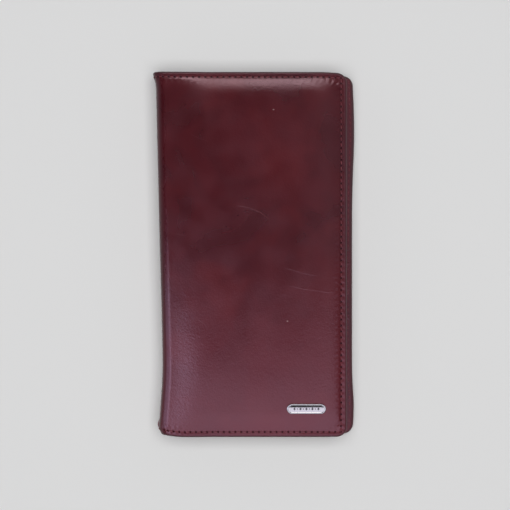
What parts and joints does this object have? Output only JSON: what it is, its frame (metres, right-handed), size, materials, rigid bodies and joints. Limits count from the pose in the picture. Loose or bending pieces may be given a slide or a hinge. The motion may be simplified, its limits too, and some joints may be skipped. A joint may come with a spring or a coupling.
{
  "type": "long wallet",
  "caption": "Padded leather long wallet that folds open like a book, with card slots, note compartments, a zipped coin pocket and a small metal name plate.",
  "frame": {"origin": "middle of the back face of the closed wallet, on the surface it lies on", "axes": "+Z out of the front face, +Y towards the wallet's top along the fold, +X from the fold towards the opening edge"},
  "size_m": [0.1, 0.184, 0.0189],
  "materials": {
    "cover_leather": "smooth semi-gloss burgundy leather, softly mottled",
    "hem_leather": "turned-in burgundy leather edges",
    "inner_leather": "thin burgundy leather",
    "padding": "thin foam padding",
    "board": "grey-brown stiffening board",
    "lining_cloth": "dark woven lining",
    "zip_cloth": "woven zip tape",
    "zip_metal": "polished zip metal",
    "thread": "burgundy sewing thread",
    "plate_metal": "polished chrome name plate"
  },
  "bodies": {
    "back_half": {"back_cover": "cover_leather", "back_hem_top": "hem_leather", "back_hem_side": "hem_leather", "back_hem_bottom": "hem_leather", "coin_gusset_top": "hem_leather", "coin_gusset_bottom": "hem_leather", "coin_gusset_left": "hem_leather", "coin_gusset_right": "hem_leather", "back_panel": "inner_leather", "coin_face_upper": "inner_leather", "coin_face_lower": "inner_leather", "card_slot_9": "inner_leather", "card_slot_10": "inner_leather", "card_slot_11": "inner_leather", "back_padding": "padding", "back_board": "board", "back_lining": "lining_cloth", "coin_bag": "lining_cloth", "zip_tape_upper": "zip_cloth", "zip_tape_lower": "zip_cloth", "zip_teeth_upper": "zip_metal", "zip_teeth_lower": "zip_metal", "zip_stop_closed": "zip_metal", "zip_stop_open": "zip_metal", "back_stitching": "thread"},
    "spine": {"spine_cover": "cover_leather", "spine_lining": "lining_cloth"},
    "front_half": {"front_cover": "cover_leather", "front_padding": "padding", "front_board": "board", "front_lining": "lining_cloth", "front_hem_top": "hem_leather", "front_hem_side": "hem_leather", "front_hem_bottom": "hem_leather", "front_panel": "inner_leather", "front_stitching": "thread", "badge": "plate_metal", "badge_washer": "zip_metal", "card_slot_1": "inner_leather", "card_slot_2": "inner_leather", "card_slot_3": "inner_leather", "card_slot_4": "inner_leather", "card_slot_5": "inner_leather", "card_slot_6": "inner_leather", "card_slot_7": "inner_leather", "card_slot_8": "inner_leather"},
    "slider": {"zip_slider": "zip_metal", "zip_pull": "inner_leather"}
  },
  "joints": [
    {"name": "spine_fold", "type": "hinge", "parent": "back_half", "child": "spine", "pos_m": [-0.04893, 0, 0.00108], "axis": [0, -1, 0], "range_deg": [0, 90]},
    {"name": "front_fold", "type": "hinge", "parent": "spine", "child": "front_half", "pos_m": [-0.04893, 0, 0.01692], "axis": [0, -1, 0], "range_deg": [0, 90]},
    {"name": "zip_slide", "type": "slide", "parent": "back_half", "child": "slider", "axis": [-1, 0, 0], "range_m": [0, 0.074]}
  ],
  "couplings": [
    {"joint": "front_fold", "follows": "spine_fold", "ratio": 1}
  ]
}
